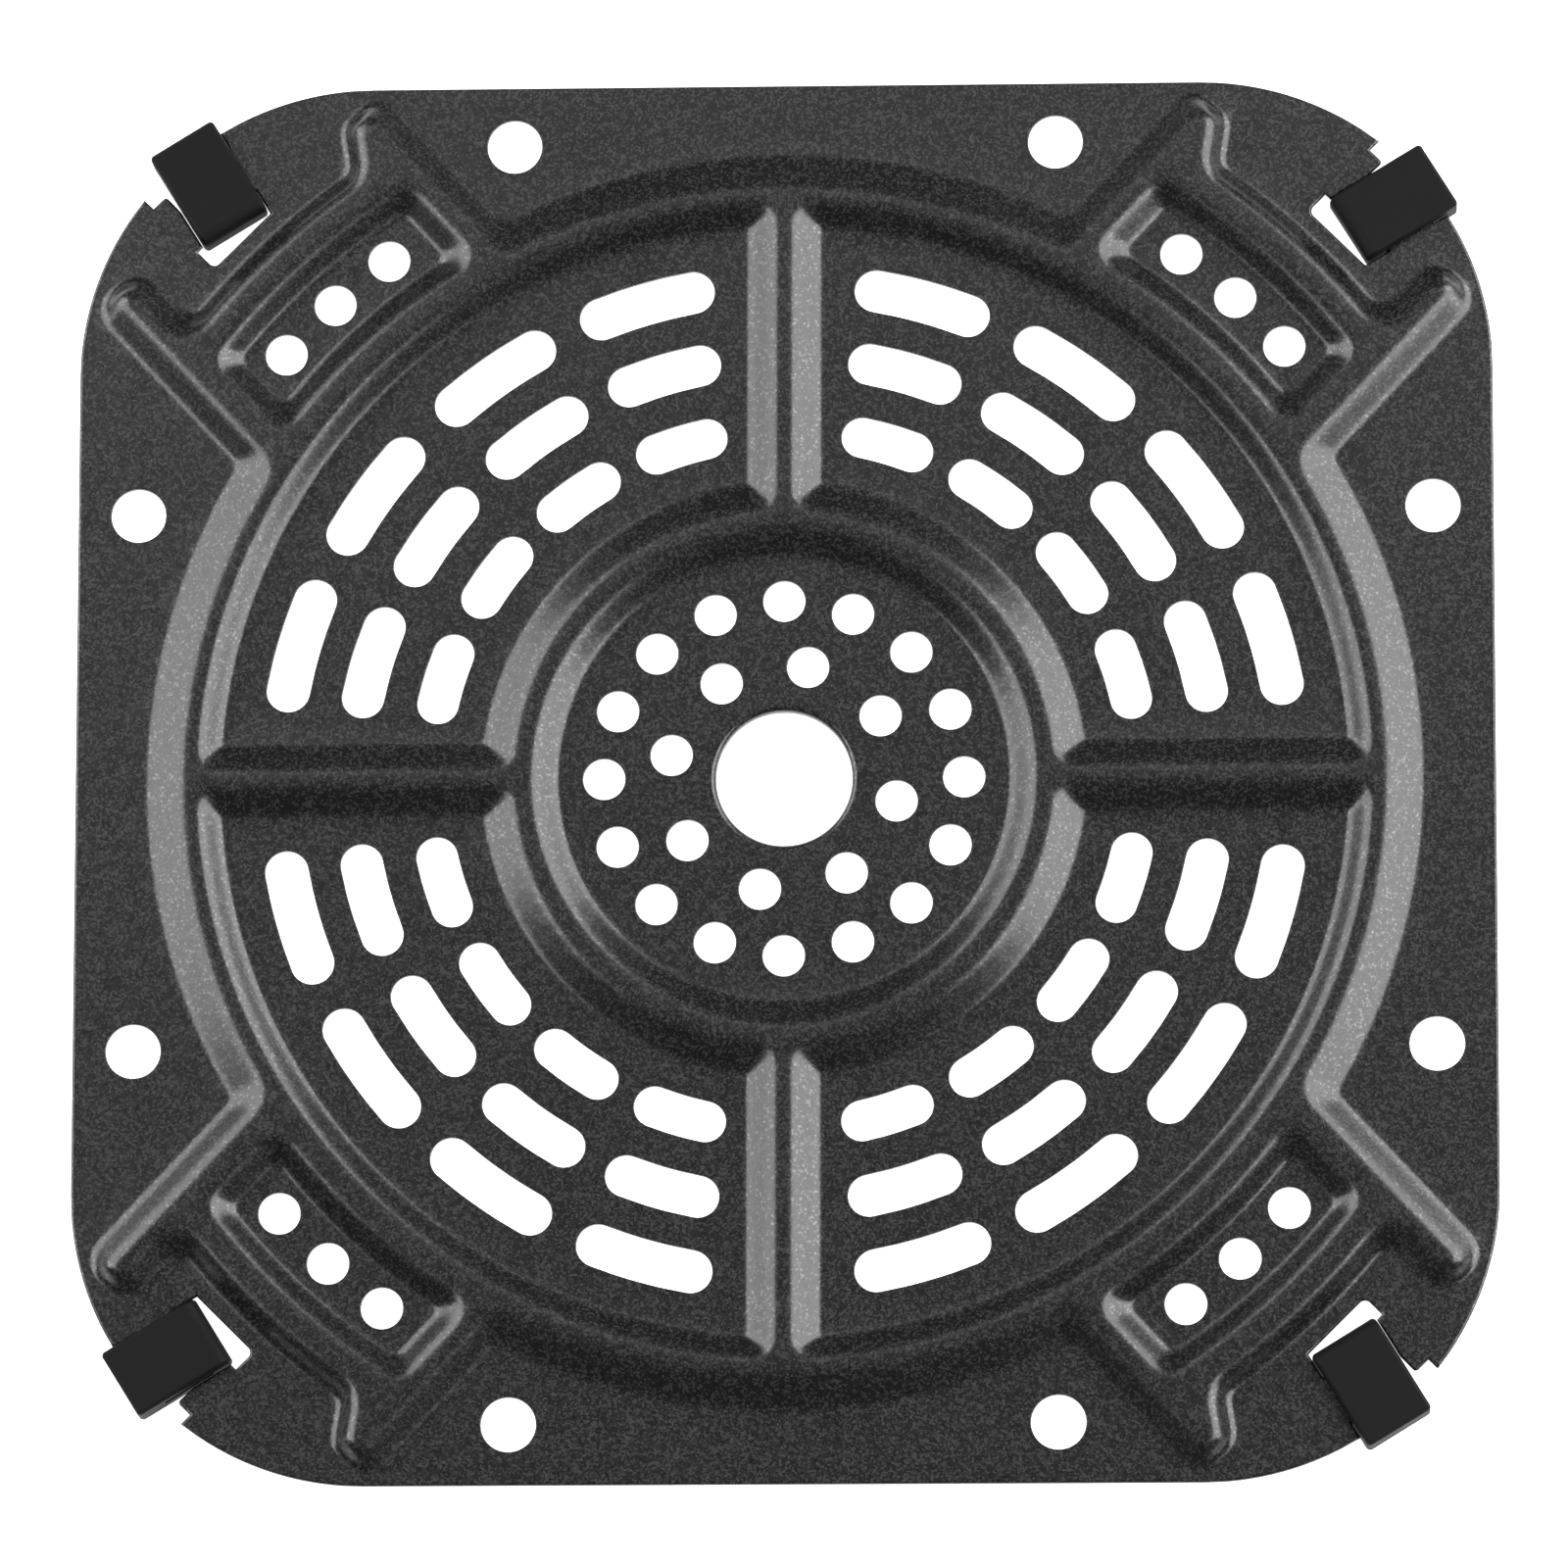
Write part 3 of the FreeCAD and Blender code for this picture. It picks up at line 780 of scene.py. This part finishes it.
@dataclass(frozen=True)
class FleckGroup:
    """Shader group that gives every fleck of the coating its own strength and height."""

    name: str = "metallic_fleck"
    scale: float = 2000.0
    share: float = 0.3

    def build(self) -> bpy.types.NodeTree:
        """Build the group.

        Returns:
            The group's tree, with the outputs Mask and Height.
        """
        group = bpy.data.node_groups.new(self.name, "ShaderNodeTree")
        group.interface.new_socket(name="Vector", in_out="INPUT", socket_type="NodeSocketVector")
        for label, default in (("Scale", self.scale), ("Share", self.share)):
            socket = group.interface.new_socket(name=label, in_out="INPUT", socket_type="NodeSocketFloat")
            socket.default_value = default
        for label in ("Mask", "Height"):
            group.interface.new_socket(name=label, in_out="OUTPUT", socket_type="NodeSocketFloat")
        wiring = Wiring(group)
        entry, end = wiring.add("NodeGroupInput").outputs, wiring.add("NodeGroupOutput").inputs
        cells = wiring.add("ShaderNodeTexVoronoi", {"Vector": entry["Vector"], "Scale": entry["Scale"]})
        parts = wiring.add("ShaderNodeSeparateColor", {"Color": cells.outputs["Color"]})
        threshold = wiring.math("SUBTRACT", 1.0, entry["Share"])
        lit = wiring.math("SUBTRACT", parts.outputs["Red"], threshold)
        wiring.feed(wiring.math("DIVIDE", lit, entry["Share"], clamp=True), end["Mask"])
        wiring.feed(parts.outputs["Blue"], end["Height"])
        return group


@dataclass(frozen=True)
class NonstickFinish:
    """Dark satin coating with a fine metallic fleck, faint clouds and an orange-peel skin."""

    name: str = "nonstick_coating"
    base: tuple[float, float, float, float] = (0.0042, 0.0041, 0.0042, 1.0)
    fleck: tuple[float, float, float, float] = (0.46, 0.45, 0.45, 1.0)
    fleck_size: float = 0.30 * MM
    fleck_share: float = 0.38
    fleck_tint: float = 0.21
    fleck_metal: float = 0.95
    fleck_relief: float = 0.5
    cloud_size: float = 1.0 / 55.0
    cloud_detail: float = 2.0
    cloud_tone: tuple[float, float] = (0.88, 1.12)
    peel_size: float = 0.9 * MM
    peel_detail: float = 3.0
    peel_relief: float = 0.5
    roughness: float = 0.26
    roughness_spread: float = 0.16
    specular: float = 0.62
    bump: float = 0.35
    bump_depth: float = 0.06 * MM

    def material(self) -> bpy.types.Material:
        """Build the material.

        Returns:
            The coating's material.
        """
        material, wiring, shader = new_material(self.name)
        place = wiring.add("ShaderNodeTexCoord").outputs["Object"]
        settings = {"Vector": place, "Scale": 1.0 / self.fleck_size, "Share": self.fleck_share}
        fleck = wiring.add("ShaderNodeGroup", node_tree=FleckGroup().build())
        for label, value in settings.items():
            wiring.feed(value, fleck.inputs[label])
        mask = fleck.outputs["Mask"]
        peel = wiring.noise(place, self.peel_size, self.peel_detail)
        cloud = wiring.noise(place, self.cloud_size, self.cloud_detail)
        tone = wiring.ramp(cloud, CLOUD_SPAN, self.cloud_tone)
        grey = wiring.add("ShaderNodeCombineColor", {"Red": tone, "Green": tone, "Blue": tone})
        base = wiring.mix(1.0, self.base, grey.outputs["Color"], "MULTIPLY")
        colour = wiring.mix(wiring.math("MULTIPLY", mask, self.fleck_tint), base, self.fleck)
        wiring.feed(colour, shader.inputs["Base Color"])
        wiring.feed(wiring.math("MULTIPLY", mask, self.fleck_metal), shader.inputs["Metallic"])
        smoothest = self.roughness - self.roughness_spread / 2
        rough = wiring.math("MULTIPLY_ADD", peel, self.roughness_spread, smoothest)
        wiring.feed(rough, shader.inputs["Roughness"])
        flecks = wiring.math("MULTIPLY", fleck.outputs["Height"], self.fleck_relief)
        height = wiring.math("MULTIPLY_ADD", peel, self.peel_relief, flecks)
        relief = {"Height": height, "Strength": self.bump, "Distance": self.bump_depth}
        wiring.feed(wiring.add("ShaderNodeBump", relief).outputs["Normal"], shader.inputs["Normal"])
        shader.inputs["Specular IOR Level"].default_value = self.specular
        return material


@dataclass(frozen=True)
class SiliconeFinish:
    """Matte black silicone with a faint bloom."""

    name: str = "silicone"
    base: tuple[float, float, float, float] = (0.0018, 0.0018, 0.0023, 1.0)
    bloom: tuple[float, float, float, float] = (0.0036, 0.0036, 0.0044, 1.0)
    bloom_span: tuple[float, float] = (0.35, 0.75)
    bloom_share: float = 0.35
    cloud_size: float = 1.0 / 160.0
    cloud_detail: float = 3.0
    grain_size: float = 1.0 / 2600.0
    grain_detail: float = 4.0
    roughness: tuple[float, float] = (0.57, 0.69)
    specular: float = 0.17
    bump: float = 0.25
    bump_depth: float = 0.03 * MM

    def material(self) -> bpy.types.Material:
        """Build the material.

        Returns:
            The silicone's material.
        """
        material, wiring, shader = new_material(self.name)
        place = wiring.add("ShaderNodeTexCoord").outputs["Object"]
        grain = wiring.noise(place, self.grain_size, self.grain_detail)
        cloud = wiring.noise(place, self.cloud_size, self.cloud_detail)
        bloom = wiring.ramp(cloud, self.bloom_span, (0.0, self.bloom_share))
        wiring.feed(wiring.mix(bloom, self.base, self.bloom), shader.inputs["Base Color"])
        wiring.feed(wiring.ramp(cloud, CLOUD_SPAN, self.roughness), shader.inputs["Roughness"])
        relief = {"Height": grain, "Strength": self.bump, "Distance": self.bump_depth}
        wiring.feed(wiring.add("ShaderNodeBump", relief).outputs["Normal"], shader.inputs["Normal"])
        shader.inputs["Specular IOR Level"].default_value = self.specular
        return material


@dataclass(frozen=True)
class FloorFinish:
    """White floor that glows, as a light table does."""

    name: str = "pale_floor"
    white: tuple[float, float, float, float] = (0.9, 0.9, 0.9, 1.0)
    roughness: float = 0.9
    specular: float = 0.1
    glow: float = 1.0

    def material(self) -> bpy.types.Material:
        """Build the material.

        Returns:
            The floor's material.
        """
        material, _, shader = new_material(self.name)
        shader.inputs["Base Color"].default_value = self.white
        shader.inputs["Roughness"].default_value = self.roughness
        shader.inputs["Specular IOR Level"].default_value = self.specular
        shader.inputs["Emission Color"].default_value = (1.0, 1.0, 1.0, 1.0)
        shader.inputs["Emission Strength"].default_value = self.glow
        return material


@dataclass
class Stage:
    """Pale floor, soft lights and the world round the tray."""

    floor_size: float = 6.0
    box_size: dict[Side, tuple[float, float]] = field(
        default_factory=lambda: {Side.LEFT: (0.85, 0.80), Side.RIGHT: (1.06, 0.80)}
    )
    box_distance: float = 0.85
    box_rise_deg: float = 40.0
    box_aside: dict[Side, float] = field(default_factory=lambda: {Side.LEFT: 0.19, Side.RIGHT: 0.14})
    box_power: dict[Side, float] = field(default_factory=lambda: {Side.LEFT: 10.4, Side.RIGHT: 16.0})
    card_place: tuple[float, float, float] = (0.0, 0.75, 1.85)
    card_size: tuple[float, float] = (0.8, 0.5)
    card_power: float = 0.9
    world_level: float = 0.10

    def floor(self) -> None:
        """Build the floor that the bumpers stand on."""
        mesh = bpy.data.meshes.new("floor")
        shape = bmesh.new()
        bmesh.ops.create_grid(shape, x_segments=1, y_segments=1, size=self.floor_size / 2)
        shape.to_mesh(mesh)
        shape.free()
        piece = bpy.data.objects.new("floor", mesh)
        bpy.context.scene.collection.objects.link(piece)
        mesh.materials.append(FloorFinish().material())

    def softbox(self, side: Side) -> None:
        """Build the softbox on one side of the tray.

        Args:
            side: Side that it stands on.
        """
        rise = math.radians(self.box_rise_deg)
        out = side.value * self.box_distance * math.cos(rise)
        place = Vector((out, self.box_aside[side], self.box_distance * math.sin(rise)))
        self.area_light(f"softbox_{side.name.lower()}", place, self.box_size[side], self.box_power[side])

    @staticmethod
    def area_light(name: str, place: Vector, size: tuple[float, float], power: float) -> None:
        """Build a rectangular light that faces the tray.

        Args:
            name: Name of the light.
            place: Its middle.
            size: Its width and height.
            power: Its power in watts.
        """
        lamp = bpy.data.lights.new(name, "AREA")
        lamp.shape = "RECTANGLE"
        lamp.size, lamp.size_y = size
        lamp.energy = power
        light = bpy.data.objects.new(name, lamp)
        light.location = place
        light.rotation_euler = (-place).to_track_quat("-Z", "Y").to_euler()
        bpy.context.scene.collection.objects.link(light)

    def build(self) -> None:
        """Build the floor, the lights and the world."""
        self.floor()
        for side in Side:
            self.softbox(side)
        self.area_light("rear_card", Vector(self.card_place), self.card_size, self.card_power)
        world = bpy.data.worlds.new("studio")
        world.use_nodes = True
        background = world.node_tree.nodes["Background"]
        background.inputs["Color"].default_value = (1.0, 1.0, 1.0, 1.0)
        background.inputs["Strength"].default_value = self.world_level
        bpy.context.scene.world = world
        bpy.context.scene.view_settings.view_transform = "Standard"


@dataclass
class PhotoCamera:
    """Camera at the photograph's place, solved from the tray's punched holes."""

    tilt_deg: float = 10.5263
    swing_deg: float = 2.7052
    roll_deg: float = -0.0766
    distance: float = 1.887
    scale_px_per_mm: float = 6.9134
    frame_px: float = 1600.0
    centre_px: tuple[float, float] = (800.02, 793.67)
    aim_height: float = 4.0 * MM
    sensor_mm: float = 36.0
    clip_end: float = 20.0

    def axes(self) -> tuple[Vector, Vector, Vector]:
        """Work out the camera's directions in the tray's frame.

        Returns:
            The directions to its right, up, and from the tray towards it.
        """
        roll = Matrix.Rotation(math.radians(self.roll_deg), 3, "Z")
        swing = Matrix.Rotation(math.radians(-self.swing_deg), 3, "Y")
        tilt = Matrix.Rotation(math.radians(-self.tilt_deg), 3, "X")
        turn = tilt @ swing @ roll
        return Vector(turn[0]), Vector(turn[1]), Vector(turn[2])

    def build(self) -> None:
        """Build the camera and make it the scene's own."""
        right, up, towards = self.axes()
        px_per_metre = self.scale_px_per_mm / MM
        aside = (self.frame_px / 2 - self.centre_px[0]) / px_per_metre
        above = (self.centre_px[1] - self.frame_px / 2) / px_per_metre
        lens = bpy.data.cameras.new("photo_camera")
        lens.sensor_width = self.sensor_mm
        lens.lens = self.sensor_mm * px_per_metre * self.distance / self.frame_px
        lens.clip_end = self.clip_end
        camera = bpy.data.objects.new("photo_camera", lens)
        camera.matrix_world = Matrix((right, up, towards)).transposed().to_4x4()
        aim = Vector((0.0, 0.0, self.aim_height))
        camera.location = aim + towards * self.distance + right * aside + up * above
        bpy.context.scene.collection.objects.link(camera)
        bpy.context.scene.camera = camera


@dataclass
class Tray:
    """The tray: one pressed plate and its four bumpers, each standing for its CAD solid."""

    nodes: dict[str, bpy.types.Object]

    @staticmethod
    def place(piece: bpy.types.Object, node: str, material: bpy.types.Material, slot: str) -> None:
        """Dress a piece and let it stand for its CAD node.

        Args:
            piece: The finished piece.
            node: Name of the CAD node that it stands for.
            material: The piece's finish.
            slot: Slot name for that finish; not used.
        """
        piece.data.materials.append(material)
        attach(piece, "root")
        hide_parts(node)
        LOG.info("%s stands for %s, %d faces", piece.name, node, len(piece.data.polygons))

    def build(self) -> None:
        """Build and dress every piece."""
        plate = PressedPlate(SolidReader(self.nodes[PLATE])).build()
        self.place(plate, PLATE, NonstickFinish().material(), "nonstick_coating")
        silicone = SiliconeFinish().material()
        for name in BUMPERS:
            self.place(SoftBumper(self.nodes[name]).build(), name, silicone, "silicone")


def main() -> None:
    """Build the scene in order."""
    logging.basicConfig(level=logging.INFO, format="%(name)s: %(message)s")
    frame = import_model()
    Tray(frame["nodes"]).build()
    Stage().build()
    PhotoCamera().build()


if __name__ == "__main__":
    main()
